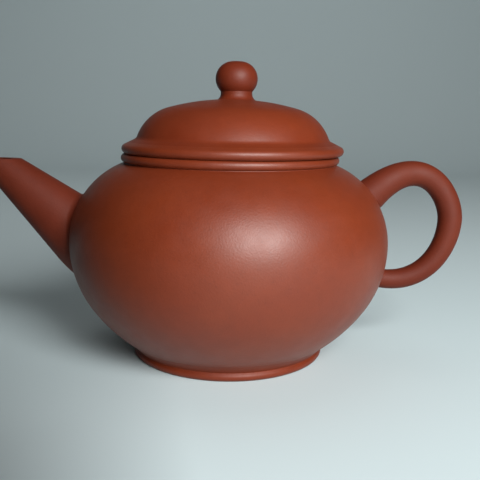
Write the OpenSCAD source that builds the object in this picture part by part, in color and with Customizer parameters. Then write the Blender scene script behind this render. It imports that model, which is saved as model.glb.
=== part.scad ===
// Round clay teapot with a straight spout, an ear handle and a loose domed lid.
// Millimetres. +Z is up, the table is z = 0 and the pot's axis is x = y = 0.
// The spout points to -X and the handle to +X.

/* [Body] */
// Widest radius of the body
body_r = 40; // [37:0.5:44]
// Radius of the curve below the widest line
lower_curve_r = 27; // [26:0.1:28]
// Angle below level at which the flatter curve of the bottom begins
lower_angle = 35; // [30:1:40]
// Radius of the flatter curve of the bottom
base_curve_r = 40; // [36:0.5:44]
// Radius of the curve above the widest line
upper_curve_r = 21; // [19:0.5:23]
// Thickness of the clay wall
wall = 2.6; // [1.8:0.1:3.4]
// Radius of the disc that closes the bottom
base_r = 23.3; // [22.6:0.1:23.6]

/* [Foot ring] */
// Height of the bottom disc above the table
foot_h = 2.4; // [1.8:0.1:3.2]
// Distance by which the foot ring's bead stands out beyond the bottom disc
foot_out = 1.15; // [0.8:0.05:1.5]
// Width of the foot ring
foot_w = 4.25; // [3.6:0.05:5.2]
// Radius of the bead along the foot ring's lower edge
foot_edge_r = 1.1; // [0.9:0.05:1.2]
// Angle above level on the bead at which the crease above it lies
foot_crease = 62; // [50:1:70]
// Distance beyond the bottom disc at which the foot ring's side runs into the body
foot_spread = 3.05; // [2.4:0.05:3.6]

/* [Mouth ring] */
// Outer radius of the mouth ring
mouth_ring_r = 27.2; // [26.4:0.1:28]
// Height of the mouth ring's rounded edge
mouth_ring_h = 2.2; // [1.6:0.1:3]

/* [Spout] */
// Height at which the spout's axis meets the body
spout_root_z = 31.7; // [29:0.1:34]
// Slope of the spout's axis above level
spout_angle = 40.7; // [34:0.1:46]
// Length of the spout's axis from the body to the level cut
spout_len = 26.3; // [18:0.1:34]
// Outer radius of the spout where its axis meets the body
spout_root_r = 8.25; // [7:0.05:9]
// Outer radius of the spout at the level cut
spout_tip_r = 3.65; // [3:0.05:5]
// Thickness of the spout's clay at the body
spout_root_wall = 2; // [1.4:0.1:2.6]
// Thickness of the spout's clay at the level cut
spout_tip_wall = 1.2; // [0.8:0.1:1.6]

/* [Spout strainer] */
// Diameter of the hole through the body wall into the spout
spout_hole_d = 10; // [8:0.5:11]
// Outer radius of the pierced dome
strainer_r = 9.6; // [9:0.1:11]
// Thickness of the pierced dome
strainer_wall = 1.6; // [1.2:0.1:2.2]
// Diameter of each strainer hole
strainer_hole_d = 2; // [1.4:0.1:2.2]
// Angle between two rows of strainer holes
strainer_row_angle = 26; // [24:1:27]

/* [Handle] */
// Height at which the handle's upper end meets the body
handle_top_z = 41.5; // [40:0.1:43]
// Rise of the handle's upper end above level
handle_top_angle = 43.7; // [39:0.1:47]
// Length of the pull on the curve at the upper end
handle_top_pull = 18.1; // [16:0.1:21]
// Distance from the pot's axis to the outermost point of the handle's middle line
handle_reach = 56.3; // [53:0.1:62]
// Height of the outermost point of the handle's middle line
handle_outer_z = 35.2; // [32:0.1:37]
// Length of the pull on the curve above the outermost point
handle_up_pull = 6.1; // [4:0.1:8]
// Length of the pull on the curve below the outermost point
handle_down_pull = 7.8; // [6:0.1:11]
// Height at which the handle's lower end meets the body
handle_low_z = 19.7; // [17:0.1:22]
// Fall of the handle's lower end below level
handle_low_angle = 10.7; // [4:0.1:15]
// Length of the pull on the curve at the lower end
handle_low_pull = 12.2; // [9:0.1:14]
// Radius of the handle's section at the outermost point
handle_r = 3.02; // [2.6:0.01:3.4]
// Added radius at the upper end, where the handle swells on to the body
handle_top_swell = 1.2; // [0:0.05:1.5]
// Radius of the handle's section at the lower end
handle_low_r = 2.45; // [2.1:0.05:3]

/* [Lid] */
// Outer radius of the bead round the lid
lid_r = 27.6; // [27.2:0.1:28.4]
// Height of the bead round the lid
lid_rim_h = 2.3; // [1.8:0.1:2.8]
// Width of the bead round the lid
lid_rim_w = 1.8; // [1.4:0.1:2.2]
// Slope of the shoulder that falls from the dome to the bead
lid_slope = 26; // [18:1:32]
// Height of the lid's crown above the mouth ring
lid_h = 13.45; // [12:0.05:15]
// Radius of the shallow crown curve
crown_r = 60; // [55:1:70]
// Radius of the dome at its widest
dome_r = 24.55; // [24.2:0.05:24.9]
// Radius of the curve at the side of the dome
dome_edge_r = 11.7; // [11:0.1:12.4]
// Thickness of the lid's clay
lid_wall = 2.6; // [2:0.1:3.4]
// Radius of the hollow curve between the dome and the shoulder
cavetto_r = 1.6; // [1:0.1:2.4]
// Distance of the lid's axis from the pot's axis, as the lid lies loose in the mouth
lid_shift = 0.6; // [0:0.05:0.6]

/* [Lid flange] */
// Outer radius of the flange
flange_r = 21.9; // [21.6:0.1:22.4]
// Thickness of the flange
flange_wall = 1.8; // [1.6:0.1:3]
// Depth of the flange below the lid
flange_h = 7.5; // [5:0.1:11]
// Clearance between the flange and the mouth when the lid is centred
lid_clearance = 0.7; // [0.65:0.05:0.9]

/* [Knob] */
// Widest radius of the knob
knob_r = 5.2; // [4.6:0.1:6]
// Radius of the curve at the knob's side
knob_curve_r = 4.2; // [3.8:0.1:4.5]
// Height of the knob's middle above the lid's crown
knob_h = 4.9; // [4.5:0.1:5.4]
// Narrowest radius of the knob's neck
knob_neck_r = 3.9; // [3.4:0.1:4.1]
// Radius of the neck's hollow flare on to the lid
knob_flare_r = 1.8; // [1.4:0.1:2]
// Distance of the knob's axis from the lid's axis, as the knob is set by hand
knob_shift = 0.7; // [0:0.1:1.5]
// Diameter of the vent through the knob and the lid
vent_d = 2; // [1.4:0.1:2.6]

/* [Hidden] */
// Pieces in drawing order, and the piece to draw

$fn = 96;
clay = [0.60, 0.27, 0.17];
lid_clay = [0.64, 0.30, 0.19];

// Body curves: two have their centres on the level of the widest line, and the bottom's
// curve takes over from the lower one at a seam along the line through both their centres
lower_c = body_r - lower_curve_r;
upper_c = body_r - upper_curve_r;
seam = [cos(lower_angle), -sin(lower_angle)];
base_c = lower_c - (base_curve_r - lower_curve_r) * seam[0];
base_rise = -(base_curve_r - lower_curve_r) * seam[1];
base_z = foot_h + sqrt(pow(base_curve_r, 2) - pow(base_r - base_c, 2));
belly_z = base_z - base_rise;
floor_z = base_z - sqrt(pow(base_curve_r - wall, 2) - pow(base_r - base_c, 2));

// Foot: centre of the bead, and a side that leaves it at the crease and ends inside the body
foot_r = base_r + foot_out;
foot_edge = [foot_r - foot_edge_r, foot_edge_r];
foot_low = foot_edge + foot_edge_r * [cos(foot_crease), sin(foot_crease)];
foot_join_r = base_r + foot_spread;
foot_join = [foot_join_r, base_z - sqrt(pow(base_curve_r, 2) - pow(foot_join_r - base_c, 2))];
foot_top = foot_join + 0.4 * (foot_join - foot_low);

// Mouth: the ring's bead stands on the body and the lid rests on the ring
mouth_r = flange_r + lid_clearance;
mouth_edge_r = mouth_ring_h / 2;
mouth_seat_r = mouth_ring_r - mouth_edge_r;
mouth_z = belly_z + sqrt(pow(upper_curve_r, 2) - pow(mouth_seat_r - upper_c, 2)) + mouth_ring_h;

// Spout: root on the body, tip at the level cut. Its taper ends at a collar a little inside
// the root, and from there it goes straight on into the body
spout_root_x = body_radius(spout_root_z);
spout_taper = (spout_root_r - spout_tip_r) / spout_len;
bore_root_r = spout_root_r - spout_root_wall;
bore_tip_r = spout_tip_r - spout_tip_wall;
bore_taper = (bore_root_r - bore_tip_r) / spout_len;
spout_collar = 0.6 * spout_root_r;
spout_in = spout_collar + 1.6 * spout_root_r;
spout_out = 3 * spout_tip_r;
tip_z = spout_root_z + spout_len * sin(spout_angle);

// Handle: two curves that meet at the outermost point
handle_top = [body_radius(handle_top_z), handle_top_z];
handle_outer = [handle_reach, handle_outer_z];
handle_low = [body_radius(handle_low_z), handle_low_z];
handle_steps = 26;
handle_sides = 24;

// Lid: crown curve on the axis, edge curve touching it from inside
crown_z = mouth_z + lid_h;
crown_c = crown_z - crown_r;
edge_c = dome_r - dome_edge_r;
edge_z = crown_c + sqrt(pow(crown_r - dome_edge_r, 2) - pow(edge_c, 2));
crown_angle = asin(edge_c / (crown_r - dome_edge_r));
flange_in_r = flange_r - flange_wall;

// Lid edge: the shoulder touches the bead below and the hollow curve above,
// and the hollow curve touches the dome's edge curve
lid_rim_edge_r = lid_rim_h / 2;
brim_r = lid_r - lid_rim_w;
bead = [lid_r - lid_rim_edge_r, mouth_z + lid_rim_edge_r];
slope_out = [sin(lid_slope), cos(lid_slope)];
slope_up = [-cos(lid_slope), sin(lid_slope)];
shoulder_low = bead + lid_rim_edge_r * slope_out;
brim_top = shoulder_low + (shoulder_low[0] - brim_r) / cos(lid_slope) * slope_up;
from_edge = bead + (lid_rim_edge_r + cavetto_r) * slope_out - [edge_c, edge_z];
from_edge_up = from_edge * slope_up;
slope_run = -from_edge_up
    - sqrt(pow(from_edge_up, 2) - from_edge * from_edge + pow(dome_edge_r + cavetto_r, 2));
to_cavetto = from_edge + slope_run * slope_up;
cavetto = [edge_c, edge_z] + to_cavetto;
shoulder_top = cavetto - cavetto_r * slope_out;
dome_in = [edge_c, edge_z] + (dome_edge_r - lid_wall / 2) / norm(to_cavetto) * to_cavetto;

// Knob: pearl above a neck that flares on to the crown
knob_c = knob_r - knob_curve_r;
knob_z = crown_z + knob_h;
flare_c = knob_neck_r + knob_flare_r;
flare_sink = 0.2;
flare_z = crown_c + sqrt(pow(crown_r, 2) - pow(flare_c, 2)) + knob_flare_r - flare_sink;

// Height of the seam between the lower curves, skin moved in by an inset
function seam_z(inset) = belly_z + (lower_curve_r - inset) * seam[1];

// Outer radius of the body at a height
function body_radius(z) =
    z > belly_z ? upper_c + sqrt(pow(upper_curve_r, 2) - pow(z - belly_z, 2))
    : z > seam_z(0) ? lower_c + sqrt(pow(lower_curve_r, 2) - pow(z - belly_z, 2))
    : base_c + sqrt(pow(base_curve_r, 2) - pow(z - base_z, 2));

// Point and direction on a cubic curve
function curve_point(p, t) = pow(1 - t, 3) * p[0] + 3 * pow(1 - t, 2) * t * p[1]
    + 3 * (1 - t) * t * t * p[2] + pow(t, 3) * p[3];
function curve_along(p, t) = 3 * pow(1 - t, 2) * (p[1] - p[0])
    + 6 * (1 - t) * t * (p[2] - p[1]) + 3 * t * t * (p[3] - p[2]);

// Half section of the body between the level of a floor and the top, skin moved in by an inset
module body_half(inset, bottom_z) {
    intersection() {
        translate([base_c, base_z]) circle(r = base_curve_r - inset);
        translate([0, bottom_z]) square([2 * body_r, seam_z(inset) - bottom_z]);
    }
    intersection() {
        translate([lower_c, belly_z]) circle(r = lower_curve_r - inset);
        translate([0, seam_z(inset)]) square([2 * body_r, belly_z - seam_z(inset)]);
    }
    intersection() {
        translate([upper_c, belly_z]) circle(r = upper_curve_r - inset);
        translate([0, belly_z]) square([2 * body_r, body_r]);
    }
    translate([0, bottom_z]) square([upper_c, belly_z + upper_curve_r / 2 - bottom_z]);
}

// Half section of the wall that follows one body curve
module wall_band(centre, curve_r) {
    translate(centre) difference() {
        circle(r = curve_r);
        circle(r = curve_r - wall);
    }
}

// Whole body without its hollow, used to shape what is joined on to it
module body_block() {
    rotate_extrude() body_half(0, foot_h);
}

// Places a child on the spout's axis, root at its origin and tip along its +Z
module on_spout_axis() {
    translate([-spout_root_x, 0, spout_root_z]) rotate([0, spout_angle - 90, 0]) children();
}

// Tapering rod along the spout's axis, longer than the spout at both ends
module spout_rod(root_r, taper) {
    collar_r = root_r + taper * spout_collar;
    translate([0, 0, -spout_in]) cylinder(h = spout_in - spout_collar, r = collar_r);
    translate([0, 0, -spout_collar])
        cylinder(h = spout_collar + spout_len + spout_out, r1 = collar_r,
            r2 = root_r - taper * (spout_len + spout_out));
}

// Half section of the lid's dome above the mouth ring, skin moved in by an inset
module dome_half(inset) {
    top = crown_z - crown_c + 1;
    intersection() {
        union() {
            intersection() {
                translate([0, crown_c]) circle(r = crown_r - inset);
                translate([0, crown_c]) polygon([[0, 0], [top * tan(crown_angle), top], [0, top]]);
            }
            translate([edge_c, edge_z]) circle(r = dome_edge_r - inset);
            translate([0, mouth_z - 1]) square([edge_c, edge_z - mouth_z + 1]);
        }
        translate([0, mouth_z]) square([2 * lid_r, lid_h + 1]);
    }
}

// Places a child on the lid's axis
module on_lid_axis() {
    translate([lid_shift, 0, 0]) children();
}

// Vent down the knob's axis, through the knob and the lid
module vent() {
    translate([knob_shift, 0, mouth_z]) cylinder(h = 2 * lid_h, d = vent_d);
}

module body_barrel() {
    color(clay) difference() {
        rotate_extrude() {
            intersection() {
                wall_band([base_c, base_z], base_curve_r);
                polygon([
                    [base_r, 0], [base_c, base_z] + (base_r - base_c) / seam[0] * seam,
                    [base_c, base_z] + 2 * body_r * seam
                ]);
            }
            intersection() {
                wall_band([lower_c, belly_z], lower_curve_r);
                polygon([
                    [lower_c, belly_z], [lower_c, belly_z] + 2 * body_r * seam,
                    [lower_c + 2 * body_r, belly_z]
                ]);
            }
            intersection() {
                wall_band([upper_c, belly_z], upper_curve_r);
                translate([mouth_seat_r, belly_z]) square([body_r, body_r]);
            }
        }
        on_spout_axis() translate([0, 0, -spout_in])
            cylinder(h = spout_in + spout_root_r, d = spout_hole_d);
    }
}

module base_disc() {
    color(clay) translate([0, 0, foot_h]) cylinder(h = floor_z - foot_h, r = base_r);
}

module mouth_disc() {
    color(clay) rotate_extrude() intersection() {
        wall_band([upper_c, belly_z], upper_curve_r);
        translate([mouth_r, belly_z]) square([mouth_seat_r - mouth_r, body_r]);
    }
}

module mouth_ring() {
    color(clay) rotate_extrude() difference() {
        union() {
            translate([mouth_seat_r, mouth_z - mouth_edge_r]) circle(r = mouth_edge_r);
            translate([mouth_r, mouth_z - mouth_ring_h]) square([mouth_seat_r - mouth_r, mouth_ring_h]);
        }
        body_half(0, foot_h);
    }
}

module foot_ring() {
    color(clay) rotate_extrude() difference() {
        union() {
            translate(foot_edge) circle(r = foot_edge_r);
            translate([foot_r - foot_w, 0]) square([foot_w - foot_edge_r, foot_top[1]]);
            polygon([foot_edge, foot_low, foot_top, [foot_edge[0], foot_top[1]]]);
        }
        body_half(0, foot_h);
    }
}

module spout() {
    color(clay) difference() {
        on_spout_axis() spout_rod(spout_root_r, spout_taper);
        on_spout_axis() spout_rod(bore_root_r, bore_taper);
        body_block();
        translate([-2 * body_r, -body_r, tip_z]) cube([2 * body_r, 2 * body_r, body_r]);
    }
}

module spout_strainer() {
    color(clay) intersection() {
        on_spout_axis() translate([0, 0, -wall]) difference() {
            sphere(r = strainer_r);
            sphere(r = strainer_r - strainer_wall);
            for (row = [0 : 2], turn = [0 : max(1, 6 * row) - 1])
                rotate([180 - strainer_row_angle * row, 0, 60 / max(1, row) * turn])
                    translate([0, 0, strainer_r - 2 * strainer_wall])
                        cylinder(h = 3 * strainer_wall, d = strainer_hole_d);
        }
        rotate_extrude() body_half(wall, floor_z);
    }
}

module handle() {
    upper = [
        handle_top,
        handle_top + handle_top_pull * [cos(handle_top_angle), sin(handle_top_angle)],
        handle_outer + [0, handle_up_pull],
        handle_outer
    ];
    lower = [
        handle_outer,
        handle_outer - [0, handle_down_pull],
        handle_low + handle_low_pull * [cos(handle_low_angle), -sin(handle_low_angle)],
        handle_low
    ];
    // The first and last rings stand inside the body and are cut off by it
    ends = [for (i = [0 : handle_steps]) i / handle_steps];
    rings = concat(
        [[handle_top - handle_r * [cos(handle_top_angle), sin(handle_top_angle)],
            curve_along(upper, 0), handle_r + handle_top_swell]],
        [for (t = ends) [curve_point(upper, t), curve_along(upper, t),
            handle_r + handle_top_swell * pow(1 - t, 6)]],
        [for (t = ends) if (t > 0) [curve_point(lower, t), curve_along(lower, t),
            handle_r + (handle_low_r - handle_r) * t]],
        [[handle_low + handle_r * [-cos(handle_low_angle), sin(handle_low_angle)],
            curve_along(lower, 1), handle_low_r]]
    );
    points = [
        for (ring = rings, k = [0 : handle_sides - 1])
            let (
                a = 360 * k / handle_sides,
                across = [-ring[1][1], ring[1][0]] / norm(ring[1]),
                spot = ring[0] + ring[2] * cos(a) * across
            )
            [spot[0], ring[2] * sin(a), spot[1]]
    ];
    count = len(rings);
    sides = [
        for (i = [0 : count - 2], k = [0 : handle_sides - 1])
            let (
                a = i * handle_sides + k,
                b = i * handle_sides + (k + 1) % handle_sides
            )
            [a, b, b + handle_sides, a + handle_sides]
    ];
    caps = [
        [for (k = [0 : handle_sides - 1]) handle_sides - 1 - k],
        [for (k = [0 : handle_sides - 1]) (count - 1) * handle_sides + k]
    ];
    color(clay) difference() {
        polyhedron(points = points, faces = concat(sides, caps), convexity = 4);
        body_block();
    }
}

module lid_dome() {
    color(lid_clay) on_lid_axis() difference() {
        rotate_extrude() difference() {
            union() {
                dome_half(0);
                difference() {
                    polygon([
                        [flange_r, mouth_z], [brim_r, mouth_z], brim_top, shoulder_top, cavetto, dome_in
                    ]);
                    translate(cavetto) circle(r = cavetto_r);
                }
            }
            intersection() {
                dome_half(lid_wall);
                square([flange_in_r, 2 * crown_z]);
            }
        }
        vent();
    }
}

module lid_rim() {
    color(lid_clay) on_lid_axis() rotate_extrude() difference() {
        union() {
            translate(bead) circle(r = lid_rim_edge_r);
            polygon([[brim_r, mouth_z], [bead[0], mouth_z], shoulder_low, brim_top]);
        }
        translate([0, mouth_z - 1]) square([brim_r, lid_rim_h + 2]);
    }
}

module lid_flange() {
    color(lid_clay) on_lid_axis() translate([0, 0, mouth_z - flange_h]) difference() {
        cylinder(h = flange_h, r = flange_r);
        translate([0, 0, -1]) cylinder(h = flange_h + 2, r = flange_in_r);
    }
}

module knob() {
    color(lid_clay) on_lid_axis() difference() {
        translate([knob_shift, 0, 0]) rotate_extrude() {
            intersection() {
                translate([knob_c, knob_z]) circle(r = knob_curve_r);
                translate([0, crown_z]) square([2 * knob_r, 2 * knob_h + knob_r]);
            }
            translate([0, flare_z]) square([knob_neck_r, knob_z - flare_z]);
            difference() {
                translate([0, flare_z - 2 * knob_flare_r]) square([flare_c, 2 * knob_flare_r]);
                translate([flare_c, flare_z]) circle(r = knob_flare_r);
            }
        }
        translate([0, 0, crown_c]) sphere(r = crown_r);
        vent();
    }
}

body_barrel();
base_disc();
mouth_disc();
mouth_ring();
foot_ring();
spout();
spout_strainer();
handle();
lid_dome();
lid_rim();
lid_flange();
knob();
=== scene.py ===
"""Looks of a round clay teapot: skins over its solids, the clay, a pale stage, soft light and a camera."""
import math

import bmesh
import bpy
from mathutils import Matrix, Vector, noise


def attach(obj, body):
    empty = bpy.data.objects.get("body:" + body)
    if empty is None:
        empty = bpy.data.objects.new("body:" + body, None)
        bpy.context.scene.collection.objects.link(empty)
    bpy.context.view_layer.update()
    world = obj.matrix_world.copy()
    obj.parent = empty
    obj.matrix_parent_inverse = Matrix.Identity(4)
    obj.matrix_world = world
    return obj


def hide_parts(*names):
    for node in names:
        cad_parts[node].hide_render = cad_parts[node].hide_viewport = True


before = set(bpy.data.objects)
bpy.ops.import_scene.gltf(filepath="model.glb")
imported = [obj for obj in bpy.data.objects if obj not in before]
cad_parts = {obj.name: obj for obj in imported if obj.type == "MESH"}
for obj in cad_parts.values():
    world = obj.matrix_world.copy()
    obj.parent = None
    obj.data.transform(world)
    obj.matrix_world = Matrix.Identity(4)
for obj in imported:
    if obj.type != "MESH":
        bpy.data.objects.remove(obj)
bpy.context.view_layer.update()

# Sizes in millimetres and angles in radians, the same as in the part's source
BODY_R = 40.0
LOWER_CURVE_R = 27.0
LOWER_ANGLE = math.radians(35)
BASE_CURVE_R = 40.0
UPPER_CURVE_R = 21.0
WALL = 2.6
BASE_R = 23.3
FOOT_H = 2.4
FOOT_OUT = 1.15
FOOT_W = 4.25
FOOT_EDGE_R = 1.1
FOOT_CREASE = math.radians(62)
FOOT_SPREAD = 3.05
MOUTH_RING_R = 27.2
MOUTH_RING_H = 2.2
SPOUT_ROOT_Z = 31.7
SPOUT_ANGLE = math.radians(40.7)
SPOUT_LEN = 26.3
SPOUT_ROOT_R = 8.25
SPOUT_TIP_R = 3.65
SPOUT_ROOT_WALL = 2.0
SPOUT_TIP_WALL = 1.2
SPOUT_HOLE_R = 5.0
HANDLE_TOP_Z = 41.5
HANDLE_TOP_ANGLE = math.radians(43.7)
HANDLE_TOP_PULL = 18.1
HANDLE_REACH = 56.3
HANDLE_OUTER_Z = 35.2
HANDLE_UP_PULL = 6.1
HANDLE_DOWN_PULL = 7.8
HANDLE_LOW_Z = 19.7
HANDLE_LOW_ANGLE = math.radians(10.7)
HANDLE_LOW_PULL = 12.2
HANDLE_R = 3.02
HANDLE_TOP_SWELL = 1.2
HANDLE_LOW_R = 2.45
LID_R = 27.6
LID_RIM_H = 2.3
LID_RIM_W = 1.8
LID_SLOPE = math.radians(26)
LID_H = 13.45
CROWN_R = 60.0
DOME_R = 24.55
DOME_EDGE_R = 11.7
LID_WALL = 2.6
CAVETTO_R = 1.6
LID_SHIFT = 0.6
FLANGE_R = 21.9
FLANGE_WALL = 1.8
FLANGE_H = 7.5
LID_CLEARANCE = 0.7
KNOB_R = 5.2
KNOB_CURVE_R = 4.2
KNOB_H = 4.9
KNOB_NECK_R = 3.9
KNOB_FLARE_R = 1.8
KNOB_SHIFT = 0.7
FLARE_SINK = 0.2
VENT_R = 1.0

# Places that follow from the sizes
LOWER_C = BODY_R - LOWER_CURVE_R
UPPER_C = BODY_R - UPPER_CURVE_R
SEAM = Vector((math.cos(LOWER_ANGLE), -math.sin(LOWER_ANGLE)))
BASE_C = LOWER_C - (BASE_CURVE_R - LOWER_CURVE_R) * SEAM.x
BASE_Z = FOOT_H + math.sqrt(BASE_CURVE_R ** 2 - (BASE_R - BASE_C) ** 2)
BELLY_Z = BASE_Z + (BASE_CURVE_R - LOWER_CURVE_R) * SEAM.y
SEAM_Z = BELLY_Z + LOWER_CURVE_R * SEAM.y
FOOT_R = BASE_R + FOOT_OUT
MOUTH_R = FLANGE_R + LID_CLEARANCE
MOUTH_SEAT_R = MOUTH_RING_R - MOUTH_RING_H / 2
MOUTH_Z = BELLY_Z + math.sqrt(UPPER_CURVE_R ** 2 - (MOUTH_SEAT_R - UPPER_C) ** 2) + MOUTH_RING_H
CROWN_Z = MOUTH_Z + LID_H
CROWN_C = CROWN_Z - CROWN_R
EDGE_C = DOME_R - DOME_EDGE_R
EDGE_Z = CROWN_C + math.sqrt((CROWN_R - DOME_EDGE_R) ** 2 - EDGE_C ** 2)
FLANGE_IN_R = FLANGE_R - FLANGE_WALL
KNOB_Z = CROWN_Z + KNOB_H
VENT_X = LID_SHIFT + KNOB_SHIFT

# Body curves from the mouth to the foot: centre in the half section, and radius
UPPER_CURVE = (UPPER_C, BELLY_Z, UPPER_CURVE_R)
LOWER_CURVE = (LOWER_C, BELLY_Z, LOWER_CURVE_R)
BASE_CURVE = (BASE_C, BASE_Z, BASE_CURVE_R)

# Softness that fired clay has and the solids leave out
MOUTH_SOFT = 0.35
FOOT_SOFT = 0.6
CREASE_SOFT = 0.2
FLANGE_INNER_SOFT = 0.6
FLANGE_OUTER_SOFT = 0.8
VENT_SOFT = 0.3
SPOUT_LIP_SOFT = 0.3
SPOUT_FILLET = 1.5
HANDLE_FILLET = 0.2
RING_FILLET = 0.12
FOOT_FILLET = 3.0

# Unevenness of hand work: how far a skin strays, and over what length
BEATEN_WAVE = (0.02, 17.0)
ROLLED_WAVE = (0.04, 9.0)
PINCHED_WAVE = (0.03, 6.0)

# How deep pieces are let into each other, out of sight
SPOUT_SINK = 0.5
BORE_SINK = 0.4
HANDLE_TOP_SINK = 3.2
HANDLE_LOW_SINK = 1.6
FOOT_SINK = 0.05
KNOB_SINK = 0.5

# Hidden corners that close the foot ring and the mouth ring inside the body, and two hair gaps
FOOT_TUCK_OUT = 1.0
FOOT_TUCK_UP = 1.6
FOOT_INNER_UP = 0.3
RING_TUCK_IN = 1.0
RING_INNER_UP = 0.6
RING_STEP_BACK = 0.1
TURN_GAP = 0.02

# Degrees left off the foot's bead for its soft crease, and off the mouth ring's hollow on the body
BEAD_TRIM = 18
HOLLOW_TRIM = 8

# Fineness of the meshes
TURNS = 320
KNOB_TURNS = 128
SPOUT_SIDES = 112
HANDLE_SIDES = 56
HOLE_SIDES = 48
SHARP = math.radians(38)
WELD = 1e-5

# Directions
UP = Vector((0, 0, 1))
BACK = Vector((0, 1, 0))


def mix(a, b, t):
    """Value part of the way from one value to another."""
    return a + (b - a) * t


def evenly(a, b, steps):
    """Values in even steps from one value to another, both ends included."""
    return [mix(a, b, i / steps) for i in range(steps + 1)]


def around(sides):
    """Angles of points in even steps round a circle."""
    return [2 * math.pi * k / sides for k in range(sides)]


def body_radius(z):
    """Outer radius of the body at a height."""
    if z > BELLY_Z:
        centre_r, centre_z, radius = UPPER_CURVE
    else:
        centre_r, centre_z, radius = LOWER_CURVE if z > SEAM_Z else BASE_CURVE
    return centre_r + math.sqrt(radius ** 2 - (z - centre_z) ** 2)


def body_curve(r, z):
    """The body curve that a point of the half section lies beside."""
    if z > BELLY_Z:
        return UPPER_CURVE
    if (z - BELLY_Z) * SEAM.x > (r - LOWER_C) * SEAM.y:
        return LOWER_CURVE
    return BASE_CURVE


def body_gap(p):
    """Distance of a point from the body's outer skin, below zero inside."""
    r = math.hypot(p.x, p.y)
    centre_r, centre_z, radius = body_curve(r, p.z)
    return math.hypot(r - centre_r, p.z - centre_z) - radius


def body_normal(p):
    """Outward direction of the body's skin near a point."""
    r = math.hypot(p.x, p.y)
    centre_r, centre_z, _ = body_curve(r, p.z)
    out = Vector(((r - centre_r) * p.x / r, (r - centre_r) * p.y / r, p.z - centre_z))
    return out.normalized()


def arc(centre_r, centre_z, radius, start, end, steps):
    """Points of an arc in a section, angles in degrees from the outward direction."""
    points = []
    for i in range(steps + 1):
        a = math.radians(start + (end - start) * i / steps)
        points.append((centre_r + radius * math.cos(a), centre_z + radius * math.sin(a)))
    return points


def within_wall(curve):
    """A body curve on the inner face of the wall."""
    centre_r, centre_z, radius = curve
    return centre_r, centre_z, radius - WALL


def angle_at(centre_r, radius, r):
    """Angle in degrees at which an arc above its centre passes a radius."""
    return math.degrees(math.acos((r - centre_r) / radius))


def heading(vector):
    """Angle in degrees of a direction in the half section, from 0 to 360."""
    return math.degrees(math.atan2(vector.y, vector.x)) % 360


def soft(before, corner, after, radius, steps=5):
    """Points that round off one corner of a half section."""
    corner = Vector(corner)
    to_before = (Vector(before) - corner).normalized()
    to_after = (Vector(after) - corner).normalized()
    half = to_before.angle(to_after) / 2
    reach = radius / math.tan(half)
    middle = corner + (to_before + to_after).normalized() * radius / math.sin(half)
    start = corner + to_before * reach - middle
    end = corner + to_after * reach - middle
    turns = [start.slerp(end, i / steps).normalized() for i in range(steps + 1)]
    return [tuple(middle + turn * radius) for turn in turns]


def touching_both(first, first_reach, second, second_reach):
    """Outer point of the half section at one distance from each of two points."""
    across = second - first
    length = across.length
    along = (first_reach ** 2 - second_reach ** 2 + length ** 2) / (2 * length)
    aside = math.sqrt(first_reach ** 2 - along ** 2)
    middle = first + across * (along / length)
    step = Vector((-across.y, across.x)) * (aside / length)
    return max(middle + step, middle - step, key=lambda p: p.x)


def first_at(start, along, centre, reach):
    """First point of a line in the half section that is at a distance from a centre."""
    away = start - centre
    forward = away.dot(along)
    run = -forward - math.sqrt(forward ** 2 - away.dot(away) + reach ** 2)
    return start + along * run


def add_mesh(name, bm):
    """Puts a bmesh into the scene as a new object."""
    mesh = bpy.data.meshes.new(name)
    bm.to_mesh(mesh)
    bm.free()
    obj = bpy.data.objects.new(name, mesh)
    bpy.context.collection.objects.link(obj)
    return obj


def shade(mesh):
    """Smooth faces, with the sharp edges kept."""
    mesh.shade_smooth()
    mesh.set_sharp_from_angle(angle=SHARP)


def new_object(name, bm):
    """Turns a bmesh in millimetres into a smooth object in metres."""
    bmesh.ops.recalc_face_normals(bm, faces=bm.faces)
    bmesh.ops.scale(bm, vec=(0.001, 0.001, 0.001), verts=bm.verts)
    obj = add_mesh(name, bm)
    shade(obj.data)
    return obj


def loft(rings, closed):
    """A bmesh that joins rings of points, all of one length, into a skin."""
    bm = bmesh.new()
    rows = [[bm.verts.new(p) for p in ring] for ring in rings]
    following = rows[1:] + rows[:1] if closed else rows[1:]
    for low, high in zip(rows, following):
        for k in range(len(low)):
            n = (k + 1) % len(low)
            bm.faces.new((low[k], low[n], high[n], high[k]))
    if not closed:
        bm.faces.new(rows[0][::-1])
        bm.faces.new(rows[-1])
    return bm


def lathe(section, shift_x=0.0, turns=TURNS):
    """A bmesh of a closed half section, turned about an upright axis."""
    rings = []
    for r, z in section:
        rings.append([Vector((shift_x + r * math.cos(a), r * math.sin(a), z)) for a in around(turns)])
    bm = loft(rings, closed=True)
    bmesh.ops.remove_doubles(bm, verts=bm.verts, dist=WELD)
    return bm


def hand_wave(bm, wave=BEATEN_WAVE, seed=0.0):
    """Gives a skin the faint unevenness of clay that was worked by hand."""
    amount, size = wave
    bm.normal_update()
    moves = []
    for v in bm.verts:
        spot = v.co / size + Vector((seed, 0.0, 0.0))
        moves.append(v.normal * amount * noise.noise(spot))
    for v, move in zip(bm.verts, moves):
        v.co += move


def rod(name, start, along, radius, length):
    """A closed straight rod that begins at a point, for cutting holes."""
    turn = UP.rotation_difference(along)
    rings = []
    for end in (0.0, length):
        spots = [Vector((radius * math.cos(a), radius * math.sin(a), end)) for a in around(HOLE_SIDES)]
        rings.append([start + turn @ spot for spot in spots])
    return new_object(name, loft(rings, closed=False))


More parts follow.
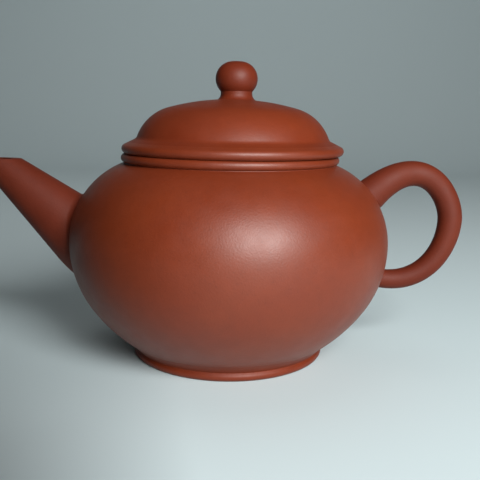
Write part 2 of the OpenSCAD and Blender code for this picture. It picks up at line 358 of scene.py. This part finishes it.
def cut(obj, cutter):
    """Takes a closed cutter out of an object, and removes the cutter."""
    mod = obj.modifiers.new("cut", "BOOLEAN")
    mod.operation = "DIFFERENCE"
    mod.solver = "EXACT"
    mod.object = cutter
    shaped = bpy.data.meshes.new_from_object(obj.evaluated_get(bpy.context.evaluated_depsgraph_get()))
    obj.modifiers.clear()
    obj.data = shaped
    shade(obj.data)
    bpy.data.objects.remove(cutter)


def fillet(gap, radius):
    """How far a skin swells outwards where it comes down on to the body."""
    rise = radius - min(max(gap, 0.0), radius)
    return radius - math.sqrt(radius ** 2 - rise ** 2)


# Spout: its axis, its root on the body, its level tip, and the collar inside the root
SPOUT_ALONG = Vector((-math.cos(SPOUT_ANGLE), 0, math.sin(SPOUT_ANGLE)))
SPOUT_ACROSS = Vector((-math.sin(SPOUT_ANGLE), 0, -math.cos(SPOUT_ANGLE)))
SPOUT_ROOT = Vector((-body_radius(SPOUT_ROOT_Z), 0, SPOUT_ROOT_Z))
TIP_Z = SPOUT_ROOT_Z + SPOUT_LEN * math.sin(SPOUT_ANGLE)
SPOUT_COLLAR = 0.6 * SPOUT_ROOT_R
COLLAR_SOFT = 3.0

# Spout root: length that is finely divided, and the search for where a line meets the body
ROOT_STRETCH = 2.6
ROOT_SEARCH = 18.0
HALVINGS = 50


def tapered(s):
    """Distance along the spout for its taper, which fades out round the collar inside the root."""
    past = s + SPOUT_COLLAR
    if past > COLLAR_SOFT:
        return s
    if past < -COLLAR_SOFT:
        return -SPOUT_COLLAR
    return (past + COLLAR_SOFT) ** 2 / (4 * COLLAR_SOFT) - SPOUT_COLLAR


def spout_line(turn, root_r, tip_r):
    """One line along the spout: a point on it by distance, its tip distance and its outward direction."""
    outward = SPOUT_ACROSS * math.cos(turn) + BACK * math.sin(turn)
    taper = (root_r - tip_r) / SPOUT_LEN

    def at(s):
        return SPOUT_ROOT + SPOUT_ALONG * s + outward * (root_r - taper * tapered(s))

    tip = (TIP_Z - SPOUT_ROOT.z - root_r * outward.z) / (SPOUT_ALONG.z - taper * outward.z)
    return at, tip, outward


def root_distance(at):
    """Distance along a spout line at which it meets the body, by halving."""
    low, high = -ROOT_SEARCH, ROOT_SEARCH
    for _ in range(HALVINGS):
        middle = (low + high) / 2
        if body_gap(at(middle)) > 0:
            high = middle
        else:
            low = middle
    return high


def spout_outside(turn):
    """Points of one outer line of the spout from the tip to inside the body, with its fillet."""
    at, tip, outward = spout_line(turn, SPOUT_ROOT_R, SPOUT_TIP_R)
    root = root_distance(at)
    lean = max(0.0, outward.dot(body_normal(at(root))))
    radius = SPOUT_FILLET * (1 - lean) ** 2
    distances = evenly(tip, root + ROOT_STRETCH, steps=40)
    distances += evenly(root + ROOT_STRETCH, root - SPOUT_SINK, steps=36)[1:]
    return [at(s) + outward * fillet(body_gap(at(s)), radius) for s in distances]


def spout_inside(turn):
    """Points of one line of the spout's bore from inside the body to the tip."""
    at, tip, _ = spout_line(turn, SPOUT_ROOT_R - SPOUT_ROOT_WALL, SPOUT_TIP_R - SPOUT_TIP_WALL)
    return [at(s) for s in evenly(root_distance(at) - BORE_SINK, tip, steps=30)]


def build_spout():
    """Spout with a level tip, a soft fillet on the body and its tapering bore."""
    columns = [spout_outside(a) + spout_inside(a) for a in around(SPOUT_SIDES)]
    bm = loft([list(ring) for ring in zip(*columns)], closed=True)
    level, fold = 1e-4, 0.4
    rim = [e for e in bm.edges if all(abs(v.co.z - TIP_Z) < level for v in e.verts)]
    lips = [e for e in rim if len(e.link_faces) == 2 and e.calc_face_angle(0) > fold]
    bmesh.ops.bevel(bm, geom=lips, offset=SPOUT_LIP_SOFT, segments=4, profile=0.5, affect="EDGES")
    hand_wave(bm, seed=3.0)
    return new_object("spout_skin", bm)


def curve_point(p, t):
    """Point of a cubic curve with four control points, at a share of its run."""
    return (p[0] * (1 - t) ** 3 + p[1] * 3 * (1 - t) ** 2 * t
            + p[2] * 3 * (1 - t) * t ** 2 + p[3] * t ** 3)


def curve_along(p, t):
    """Direction of a cubic curve with four control points, at a share of its run."""
    along = ((p[1] - p[0]) * 3 * (1 - t) ** 2 + (p[2] - p[1]) * 6 * (1 - t) * t
             + (p[3] - p[2]) * 3 * t ** 2)
    return along.normalized()


def handle_curves():
    """The two curves of the handle's middle line, which meet at its outermost point."""
    top = Vector((body_radius(HANDLE_TOP_Z), 0, HANDLE_TOP_Z))
    outer = Vector((HANDLE_REACH, 0, HANDLE_OUTER_Z))
    low = Vector((body_radius(HANDLE_LOW_Z), 0, HANDLE_LOW_Z))
    rise = Vector((math.cos(HANDLE_TOP_ANGLE), 0, math.sin(HANDLE_TOP_ANGLE)))
    fall = Vector((math.cos(HANDLE_LOW_ANGLE), 0, -math.sin(HANDLE_LOW_ANGLE)))
    upper = [top, top + rise * HANDLE_TOP_PULL, outer + UP * HANDLE_UP_PULL, outer]
    lower = [outer, outer - UP * HANDLE_DOWN_PULL, low + fall * HANDLE_LOW_PULL, low]
    return upper, lower


def handle_stations():
    """Middle point, direction and radius of each ring of the handle, ends inside the body."""
    upper, lower = handle_curves()
    near_body, fade = 0.06, 6
    shares = evenly(0.0, near_body, steps=30)[:-1] + evenly(near_body, 1.0, steps=48)
    start, end = curve_along(upper, 0), curve_along(lower, 1)
    stations = []
    for depth in evenly(HANDLE_TOP_SINK, 0.0, steps=24)[:-1]:
        stations.append((upper[0] - start * depth, start, HANDLE_R + HANDLE_TOP_SWELL))
    for t in shares:
        radius = HANDLE_R + HANDLE_TOP_SWELL * (1 - t) ** fade
        stations.append((curve_point(upper, t), curve_along(upper, t), radius))
    for t in [1 - share for share in shares[::-1]][1:]:
        radius = mix(HANDLE_R, HANDLE_LOW_R, t)
        stations.append((curve_point(lower, t), curve_along(lower, t), radius))
    for depth in evenly(0.0, HANDLE_LOW_SINK, steps=16)[1:]:
        stations.append((lower[3] + end * depth, end, HANDLE_LOW_R))
    return stations


def build_handle():
    """Ear handle: a round bar that swells a little where it is luted on to the body."""
    rings = []
    for centre, along, radius in handle_stations():
        across = Vector((-along.z, 0, along.x))
        ring = []
        for a in around(HANDLE_SIDES):
            outward = across * math.cos(a) + BACK * math.sin(a)
            spot = centre + outward * radius
            ring.append(spot + outward * fillet(body_gap(spot), HANDLE_FILLET))
        rings.append(ring)
    bm = loft(rings, closed=False)
    hand_wave(bm, ROLLED_WAVE, seed=7.0)
    return new_object("handle_skin", bm)


def build_barrel():
    """Round wall of the pot, pierced for the spout."""
    seam = -math.degrees(LOWER_ANGLE)
    low = -angle_at(BASE_C, BASE_CURVE_R, BASE_R)
    high = angle_at(UPPER_C, UPPER_CURVE_R, MOUTH_SEAT_R)
    low_in = -angle_at(BASE_C, BASE_CURVE_R - WALL, BASE_R)
    high_in = angle_at(UPPER_C, UPPER_CURVE_R - WALL, MOUTH_SEAT_R)
    section = arc(*BASE_CURVE, low, seam, steps=36)
    section += arc(*LOWER_CURVE, seam, 0, steps=40)[1:]
    section += arc(*UPPER_CURVE, 0, high, steps=52)[1:]
    section += arc(*within_wall(UPPER_CURVE), high_in, 0, steps=40)
    section += arc(*within_wall(LOWER_CURVE), 0, seam, steps=28)[1:]
    section += arc(*within_wall(BASE_CURVE), seam, low_in, steps=26)[1:]
    bm = lathe(section)
    hand_wave(bm)
    barrel = new_object("barrel_skin", bm)
    inside, length = 9, 15
    start = SPOUT_ROOT - SPOUT_ALONG * inside
    cut(barrel, rod("spout_hole", start, SPOUT_ALONG, SPOUT_HOLE_R, length))
    return barrel


def build_foot_ring():
    """Low ring that the pot stands on: a bead, a crease, and a leaning side that runs into the body."""
    inner = FOOT_R - FOOT_W
    edge = Vector((FOOT_R - FOOT_EDGE_R, FOOT_EDGE_R))
    turn = Vector((math.cos(FOOT_CREASE), math.sin(FOOT_CREASE)))
    crease = edge + turn * FOOT_EDGE_R
    bead_end = math.degrees(FOOT_CREASE) - BEAD_TRIM
    join_r = BASE_R + FOOT_SPREAD
    join = Vector((join_r, BASE_Z - math.sqrt(BASE_CURVE_R ** 2 - (join_r - BASE_C) ** 2)))
    up = (join - crease).normalized()
    out = Vector((up.y, -up.x))
    base = Vector((BASE_C, BASE_Z))
    hollow = first_at(crease + out * FOOT_FILLET, up, base, BASE_CURVE_R + FOOT_FILLET - FOOT_SINK)
    section = soft((inner, FOOT_H), (inner, 0.0), (edge.x, 0.0), FOOT_SOFT)
    section += arc(edge.x, edge.y, FOOT_EDGE_R, -90, bead_end, steps=20)
    section += soft(crease + Vector((turn.y, -turn.x)), crease, crease + up, CREASE_SOFT)
    section += arc(hollow.x, hollow.y, FOOT_FILLET, heading(-out), heading(base - hollow), steps=16)
    section += [(BASE_R + FOOT_TUCK_OUT, FOOT_H + FOOT_TUCK_UP), (inner, FOOT_H + FOOT_INNER_UP)]
    bm = lathe(section)
    hand_wave(bm, seed=11.0)
    return new_object("foot_skin", bm)


def build_mouth_ring():
    """Ring round the mouth, run down on to the body in a small hollow."""
    edge = MOUTH_RING_H / 2
    base = MOUTH_Z - MOUTH_RING_H
    inner = MOUTH_R + RING_STEP_BACK
    ring = Vector((MOUTH_SEAT_R, MOUTH_Z - edge))
    body = Vector((UPPER_C, BELLY_Z))
    hollow = touching_both(ring, edge + RING_FILLET, body, UPPER_CURVE_R + RING_FILLET)
    foot = heading(body - hollow) + HOLLOW_TRIM
    touch = heading(ring - hollow)
    section = [(inner, base + RING_INNER_UP), (MOUTH_SEAT_R - RING_TUCK_IN, base)]
    section += arc(hollow.x, hollow.y, RING_FILLET, foot, touch, steps=12)
    section += arc(ring.x, ring.y, edge, touch - 180, 90, steps=24)[1:]
    section += soft((MOUTH_SEAT_R, MOUTH_Z), (inner, MOUTH_Z), (inner, base), MOUTH_SOFT)
    bm = lathe(section)
    hand_wave(bm, seed=13.0)
    return new_object("mouth_ring_skin", bm)


# Lid edge: a bead, a shoulder that rises inwards from it, and a hollow curve up to the dome
LID_EDGE_R = LID_RIM_H / 2
BRIM_R = LID_R - LID_RIM_W
BEAD = Vector((LID_R - LID_EDGE_R, MOUTH_Z + LID_EDGE_R))
SLOPE_OUT = Vector((math.sin(LID_SLOPE), math.cos(LID_SLOPE)))
SLOPE_UP = Vector((-math.cos(LID_SLOPE), math.sin(LID_SLOPE)))
SHOULDER_LOW = BEAD + SLOPE_OUT * LID_EDGE_R
BRIM_TOP = SHOULDER_LOW + SLOPE_UP * ((SHOULDER_LOW.x - BRIM_R) / math.cos(LID_SLOPE))
DOME_EDGE = Vector((EDGE_C, EDGE_Z))
CAVETTO = first_at(BEAD + SLOPE_OUT * (LID_EDGE_R + CAVETTO_R), SLOPE_UP, DOME_EDGE, DOME_EDGE_R + CAVETTO_R)


def build_lid_dome():
    """Domed plate of the lid with the hollow curve and the shoulder at its edge, and the vent."""
    touch = heading(CAVETTO - DOME_EDGE)
    rise = angle_at(0, CROWN_R - DOME_EDGE_R, EDGE_C)
    inner_low = angle_at(EDGE_C, DOME_EDGE_R - LID_WALL, FLANGE_IN_R)
    section = [(FLANGE_IN_R, MOUTH_Z), (BRIM_R, MOUTH_Z), tuple(BRIM_TOP)]
    section += arc(CAVETTO.x, CAVETTO.y, CAVETTO_R, heading(-SLOPE_OUT), touch + 180, steps=14)
    section += arc(EDGE_C, EDGE_Z, DOME_EDGE_R, touch, rise, steps=44)[1:]
    section += arc(0, CROWN_C, CROWN_R, rise, 90, steps=34)[1:]
    section += arc(0, CROWN_C, CROWN_R - LID_WALL, 90, rise, steps=30)
    section += arc(EDGE_C, EDGE_Z, DOME_EDGE_R - LID_WALL, rise, inner_low, steps=16)[1:]
    dome = new_object("lid_dome_skin", lathe(section, shift_x=LID_SHIFT))
    below, length = 6, 9
    start = Vector((VENT_X, 0, CROWN_Z - below))
    cut(dome, rod("vent_hole", start, UP, VENT_R, length))
    return dome


def build_lid_rim():
    """Bead round the lid, with the outer part of the shoulder above it."""
    section = [(BRIM_R, MOUTH_Z)]
    section += arc(BEAD.x, BEAD.y, LID_EDGE_R, -90, heading(SLOPE_OUT), steps=26)
    section += [tuple(BRIM_TOP)]
    return new_object("lid_rim_skin", lathe(section, shift_x=LID_SHIFT))


def build_flange():
    """Plain ring that goes down into the mouth; it ends a hair below the dome, which turns on it."""
    low, top = MOUTH_Z - FLANGE_H, MOUTH_Z - TURN_GAP
    section = [(FLANGE_IN_R, top)]
    section += soft((FLANGE_IN_R, top), (FLANGE_IN_R, low), (FLANGE_R, low), FLANGE_INNER_SOFT)
    section += soft((FLANGE_IN_R, low), (FLANGE_R, low), (FLANGE_R, top), FLANGE_OUTER_SOFT)
    section += [(FLANGE_R, top)]
    return new_object("flange_skin", lathe(section, shift_x=LID_SHIFT))


def build_knob():
    """Pearl knob on a hollow-sided neck, pierced by the vent."""
    flare_c = KNOB_NECK_R + KNOB_FLARE_R
    flare_z = CROWN_C + math.sqrt(CROWN_R ** 2 - flare_c ** 2) + KNOB_FLARE_R - FLARE_SINK
    centre = KNOB_R - KNOB_CURVE_R
    neck_angle = -angle_at(centre, KNOB_CURVE_R, KNOB_NECK_R)
    top_angle = 80
    foot = flare_z - KNOB_FLARE_R - KNOB_SINK
    top = KNOB_Z + KNOB_CURVE_R
    section = [(VENT_R, foot), (flare_c, foot)]
    section += arc(flare_c, flare_z, KNOB_FLARE_R, -90, -180, steps=18)
    section += arc(centre, KNOB_Z, KNOB_CURVE_R, neck_angle, top_angle, steps=44)
    section += soft((KNOB_R, top), (VENT_R, top), (VENT_R, foot), VENT_SOFT)
    bm = lathe(section, shift_x=VENT_X, turns=KNOB_TURNS)
    hand_wave(bm, PINCHED_WAVE, seed=19.0)
    return new_object("knob_skin", bm)


# Patterns in the clay, in cells to a metre
CLOUDS = 55.0
MOTTLE = 420.0
FLECKS = 1150.0
FLECK_PATCHES = 700.0
SAND = 90.0
SPECKS = 2100.0
SHEEN = 260.0
GRAIN = 2400.0
SCRAPES = 260.0

# Relief: depths of the grain and of the scraping marks in metres, and how strongly the marks show
GRAIN_DEPTH = 0.00012
SCRAPE_DEPTH = 0.0003
SCRAPE_STRENGTH = 0.02

# Tones of the grain, and how strongly two of them show
BLACK = (0.0, 0.0, 0.0)
WHITE = (1.0, 1.0, 1.0)
MOTTLE_DARK = (0.86, 0.86, 0.86)
MOTTLE_LIGHT = (1.12, 1.1, 1.08)
FLECK_SHARE = (0.3, 0.3, 0.3)
SAND_DARK = (0.19, 0.04, 0.015)
SAND_LIGHT = (0.24, 0.06, 0.025)
SPECK = (0.62, 0.6, 0.58)
MOTTLE_SHARE = 0.3
SPECK_SHARE = 0.3


def add_noise(tree, place, scale, detail, fineness=0.5):
    """Cloudy pattern in the object's own space."""
    node = tree.nodes.new("ShaderNodeTexNoise")
    node.inputs["Scale"].default_value = scale
    node.inputs["Detail"].default_value = detail
    node.inputs["Roughness"].default_value = fineness
    tree.links.new(place, node.inputs["Vector"])
    return node.outputs["Fac"]


def add_cells(tree, place, scale):
    """Distance from the nearest of many scattered points, in the object's own space."""
    node = tree.nodes.new("ShaderNodeTexVoronoi")
    node.inputs["Scale"].default_value = scale
    tree.links.new(place, node.inputs["Vector"])
    return node.outputs["Distance"]


def add_ramp(tree, pattern, *ends):
    """Colour that runs between two ends, each a level of the pattern and the colour there."""
    node = tree.nodes.new("ShaderNodeValToRGB")
    for element, (level, colour) in zip(node.color_ramp.elements, ends):
        element.position = level
        element.color = (*colour, 1.0)
    tree.links.new(pattern, node.inputs["Fac"])
    return node.outputs["Color"]


def add_blend(tree, kind, share, under, over):
    """One colour laid over another, by a share that is a number or a pattern."""
    node = tree.nodes.new("ShaderNodeMix")
    node.data_type = "RGBA"
    node.blend_type = kind
    if isinstance(share, float):
        node.inputs["Factor"].default_value = share
    else:
        tree.links.new(share, node.inputs["Factor"])
    tree.links.new(under, node.inputs["A"])
    tree.links.new(over, node.inputs["B"])
    return node.outputs["Result"]


def add_bump(tree, pattern, strength, depth):
    """Relief that follows a pattern."""
    node = tree.nodes.new("ShaderNodeBump")
    node.inputs["Strength"].default_value = strength
    node.inputs["Distance"].default_value = depth
    tree.links.new(pattern, node.inputs["Height"])
    return node


def clay_colour(tree, place, dark, light):
    """Broad clouds of tone and a mottle, then paler grains of sand and darker specks."""
    clouds = add_ramp(tree, add_noise(tree, place, CLOUDS, 4.0), (0.32, dark), (0.68, light))
    mottle = add_ramp(tree, add_noise(tree, place, MOTTLE, 3.0), (0.3, MOTTLE_DARK), (0.7, MOTTLE_LIGHT))
    ground = add_blend(tree, "MULTIPLY", MOTTLE_SHARE, clouds, mottle)
    flecks = add_ramp(tree, add_cells(tree, place, FLECKS), (0.1, WHITE), (0.2, BLACK))
    patches = add_ramp(tree, add_noise(tree, place, FLECK_PATCHES, 1.0), (0.56, BLACK), (0.66, FLECK_SHARE))
    sown = add_blend(tree, "MULTIPLY", 1.0, flecks, patches)
    sand = add_ramp(tree, add_noise(tree, place, SAND, 1.0), (0.0, SAND_DARK), (1.0, SAND_LIGHT))
    sanded = add_blend(tree, "MIX", sown, ground, sand)
    specks = add_ramp(tree, add_noise(tree, place, SPECKS, 2.0), (0.3, SPECK), (0.4, WHITE))
    return add_blend(tree, "MULTIPLY", SPECK_SHARE, sanded, specks)


def clay_relief(tree, place, grain):
    """Grain of sand, with the faint waves of scraping under it."""
    fine = add_bump(tree, add_noise(tree, place, GRAIN, 2.0, 0.55), grain, GRAIN_DEPTH)
    broad = add_bump(tree, add_noise(tree, place, SCRAPES, 2.0), SCRAPE_STRENGTH, SCRAPE_DEPTH)
    tree.links.new(broad.outputs["Normal"], fine.inputs["Normal"])
    return fine.outputs["Normal"]


def clay(name, dark, light, rough, grain, ior=1.5):
    """Fired unglazed clay: clouded tone, sand, a sheen that the grain breaks up, and fine relief."""
    mat = bpy.data.materials.new(name)
    mat.use_nodes = True
    tree = mat.node_tree
    shader = tree.nodes["Principled BSDF"]
    place = tree.nodes.new("ShaderNodeTexCoord").outputs["Object"]
    low, high = rough
    sheen = add_ramp(tree, add_noise(tree, place, SHEEN, 4.0), (0.3, (low,) * 3), (0.7, (high,) * 3))
    tree.links.new(clay_colour(tree, place, dark, light), shader.inputs["Base Color"])
    tree.links.new(sheen, shader.inputs["Roughness"])
    tree.links.new(clay_relief(tree, place, grain), shader.inputs["Normal"])
    shader.inputs["IOR"].default_value = ior
    return mat


def plain(name, colour, rough):
    """Material of one even colour."""
    mat = bpy.data.materials.new(name)
    mat.use_nodes = True
    shader = mat.node_tree.nodes["Principled BSDF"]
    shader.inputs["Base Color"].default_value = (*colour, 1.0)
    shader.inputs["Roughness"].default_value = rough
    return mat


# Copies of one clay. Roughness, grain and the strength of reflection differ by how each part was finished.
# The darker tone of the copies for the dome and foot, knob, handle and spout is painted shade, matched to
# how dark those parts look under the light.
burnished = clay("burnished_clay", dark=(0.144, 0.0208, 0.0049), light=(0.163, 0.0258, 0.0063),
                 rough=(0.42, 0.49), grain=0.25)
smoothed_shaded = clay("smoothed_shaded_clay", dark=(0.132, 0.0185, 0.0046), light=(0.156, 0.0238, 0.0062),
                rough=(0.46, 0.54), grain=0.25, ior=1.37)
thumbed_shaded = clay("thumbed_shaded_clay", dark=(0.11, 0.014, 0.0037), light=(0.129, 0.0178, 0.0048),
               rough=(0.47, 0.55), grain=0.3, ior=1.38)
held_shaded = clay("held_shaded_clay", dark=(0.097, 0.0123, 0.0032), light=(0.114, 0.0157, 0.0043),
            rough=(0.58, 0.68), grain=0.35, ior=1.34)
wiped_shaded = clay("wiped_shaded_clay", dark=(0.119, 0.0148, 0.0038), light=(0.138, 0.0187, 0.005),
             rough=(0.58, 0.68), grain=0.35, ior=1.4)
scraped = clay("scraped_clay", dark=(0.14, 0.018, 0.006), light=(0.17, 0.025, 0.009),
               rough=(0.55, 0.7), grain=0.6)

# Skins: each stands for one node and moves with that node's body
SKINS = [
    (build_barrel, "body_barrel", "pot", burnished),
    (build_foot_ring, "foot_ring", "pot", smoothed_shaded),
    (build_mouth_ring, "mouth_ring", "pot", burnished),
    (build_spout, "spout", "pot", wiped_shaded),
    (build_handle, "handle", "pot", held_shaded),
    (build_lid_dome, "lid_dome", "lid_cap", smoothed_shaded),
    (build_lid_rim, "lid_rim", "lid_cap", burnished),
    (build_knob, "knob", "lid_cap", thumbed_shaded),
    (build_flange, "lid_flange", "lid_neck", scraped),
]
for build, node, body, finish in SKINS:
    skin = build()
    skin.data.materials.clear()
    skin.data.materials.append(finish)
    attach(skin, body)
    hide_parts(node)

# Solids that are shown in their own shape, in scraped clay
for node in ("base_disc", "mouth_disc", "spout_strainer"):
    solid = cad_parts[node]
    for slot in solid.material_slots:
        slot.material = scraped

# Window, seen from the middle of the pot: degrees round from the camera's side, degrees up, metres away
WINDOW_TURN = 24.5
WINDOW_RISE = 26.5
WINDOW_AWAY = 0.58

# Height of the middle of the pot, in metres
POT_MIDDLE_Z = 0.03


def build_stage():
    """Pale floor that curves up into a backdrop well behind the pot."""
    front, back, half_width = -3.0, 0.55, 3.0
    sweep, height = 0.45, 0.6
    line = [(front, 0.0)]
    line += arc(back, sweep, sweep, -90, 0, steps=24)
    line += [(back + sweep, height)]
    bm = bmesh.new()
    left = [bm.verts.new((-half_width, y, z)) for y, z in line]
    right = [bm.verts.new((half_width, y, z)) for y, z in line]
    for i in range(len(line) - 1):
        bm.faces.new((left[i], right[i], right[i + 1], left[i + 1]))
    obj = add_mesh("stage", bm)
    obj.data.shade_smooth()
    obj.data.materials.append(plain("stage_paper", (0.565, 0.68, 0.705), rough=0.75))


def build_flag():
    """Dark card beside the camera that keeps the window's light off the floor to the left of the pot."""
    away, lift, tall = 0.105, 0.02, 0.13
    low_end, high_end, far_end = 0.043, 0.05, 0.3
    a = math.radians(WINDOW_TURN)
    towards = Vector((math.sin(a), -math.cos(a), 0))
    left = Vector((-math.cos(a), -math.sin(a), 0))
    low = towards * away + UP * lift
    high = low + UP * tall
    corners = (low + left * low_end, low + left * far_end, high + left * far_end, high + left * high_end)
    bm = bmesh.new()
    bm.faces.new([bm.verts.new(corner) for corner in corners])
    obj = add_mesh("flag", bm)
    obj.visible_camera = False
    obj.data.materials.append(plain("flag_felt", (0.03, 0.03, 0.03), rough=0.5))


def build_camera():
    """Camera at the photograph's viewing angle, found from the pot's own circles."""
    pitch, pan, roll = math.radians(10.528), math.radians(-0.162), math.radians(0.99)
    place = (0.00328, -0.1709, 0.0607)
    right = Vector((math.cos(pan), -math.sin(pan), 0))
    ahead = Vector((math.sin(pan) * math.cos(pitch), math.cos(pan) * math.cos(pitch), -math.sin(pitch)))
    up = right.cross(ahead)
    tilted_right = right * math.cos(roll) + up * math.sin(roll)
    tilted_up = up * math.cos(roll) - right * math.sin(roll)
    data = bpy.data.cameras.new("camera")
    data.sensor_width = 36.0
    data.lens = 50.6
    data.clip_start = 0.01
    obj = bpy.data.objects.new("camera", data)
    turn = Matrix((tilted_right, tilted_up, -ahead)).transposed().to_4x4()
    obj.matrix_world = Matrix.Translation(place) @ turn
    bpy.context.collection.objects.link(obj)
    bpy.context.scene.camera = obj


def from_pot(azimuth, elevation, distance):
    """Place seen from the pot: azimuth from the camera's side towards the handle, in degrees."""
    a, e = math.radians(azimuth), math.radians(elevation)
    return (distance * math.sin(a) * math.cos(e), -distance * math.cos(a) * math.cos(e),
            POT_MIDDLE_Z + distance * math.sin(e))


def add_light(name, place, target, size, watts, colour, sheen):
    """Soft rectangular light that faces a point, with or without a reflection in the clay."""
    data = bpy.data.lights.new(name, "AREA")
    data.shape = "RECTANGLE"
    data.size, data.size_y = size
    data.energy = watts
    data.color = colour
    obj = bpy.data.objects.new(name, data)
    obj.location = place
    obj.rotation_euler = (Vector(target) - Vector(place)).to_track_quat("-Z", "Y").to_euler()
    obj.visible_glossy = sheen
    bpy.context.collection.objects.link(obj)


def build_lights():
    """A window beside the camera, with a dim ceiling and a dim light on the backdrop."""
    daylight, room = (1.0, 0.985, 0.97), (1.0, 0.975, 0.955)
    add_light("window", place=from_pot(WINDOW_TURN, WINDOW_RISE, WINDOW_AWAY), target=(0, 0, POT_MIDDLE_Z),
              size=(0.32, 0.305), watts=6.2, colour=daylight, sheen=True)
    add_light("ceiling", place=(-0.1, 0.3, 0.95), target=(0, 0.05, 0),
              size=(0.9, 0.9), watts=1.5, colour=room, sheen=False)
    add_light("wall", place=(0.05, 0.5, 0.7), target=(0.05, 0.95, 0.15),
              size=(1.2, 0.4), watts=0.4, colour=room, sheen=False)


def build_room():
    """Faint even light from all round."""
    world = bpy.data.worlds.new("room")
    world.use_nodes = True
    glow = world.node_tree.nodes["Background"]
    glow.inputs["Color"].default_value = (0.86, 0.92, 0.95, 1.0)
    glow.inputs["Strength"].default_value = 0.01
    bpy.context.scene.world = world


build_stage()
build_flag()
build_camera()
build_lights()
build_room()
bpy.context.scene.view_settings.view_transform = "Standard"
